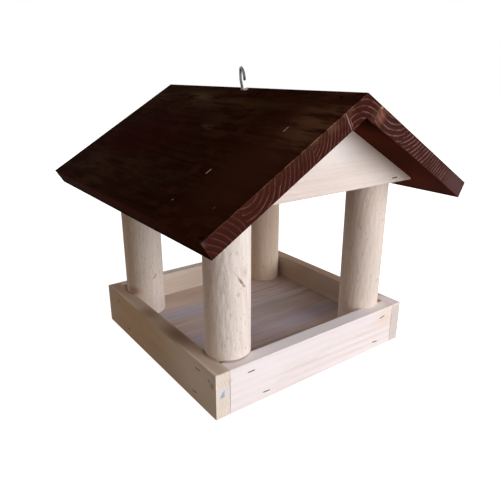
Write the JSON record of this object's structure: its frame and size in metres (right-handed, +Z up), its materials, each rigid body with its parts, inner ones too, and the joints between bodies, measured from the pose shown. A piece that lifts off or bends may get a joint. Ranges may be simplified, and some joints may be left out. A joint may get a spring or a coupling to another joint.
{
  "type": "wooden hanging bird feeder",
  "caption": "Open-sided wooden bird feeder: a railed seed tray, round peeled posts, gable boards and a dark stained pitched roof with a screw hook for hanging.",
  "frame": {"origin": "middle of the tray's underside, on the surface the feeder stands on", "axes": "+Z up, the ridge along Y, -Y the front gable end, +X to the right seen from the front"},
  "size_m": [0.3415, 0.355, 0.3248],
  "materials": {
    "side_rail_wood": "bare planed pine, satin",
    "end_rail_wood": "bare planed pine, pale, satin",
    "floor_wood": "bare planed pine, satin",
    "post_wood": "peeled round wood, matt",
    "gable_wood": "bare planed pine, satin",
    "stained_wood": "dark brown stain, semi-gloss",
    "hook_steel": "zinc plated, dulled"
  },
  "bodies": {
    "root": {"left_rail": "side_rail_wood", "right_rail": "side_rail_wood", "front_rail": "end_rail_wood", "back_rail": "end_rail_wood", "floor_stave_1": "floor_wood", "floor_stave_2": "floor_wood", "floor_stave_3": "floor_wood", "floor_stave_4": "floor_wood", "floor_stave_5": "floor_wood", "post_front_left": "post_wood", "post_front_right": "post_wood", "post_back_left": "post_wood", "post_back_right": "post_wood", "front_gable": "gable_wood", "back_gable": "gable_wood", "ridge_stave": "stained_wood", "left_roof_stave_1": "stained_wood", "left_roof_stave_2": "stained_wood", "left_roof_stave_3": "stained_wood", "left_roof_stave_4": "stained_wood", "right_roof_stave_1": "stained_wood", "right_roof_stave_2": "stained_wood", "right_roof_stave_3": "stained_wood", "right_roof_stave_4": "stained_wood", "screw_hook": "hook_steel"}
  },
  "joints": []
}
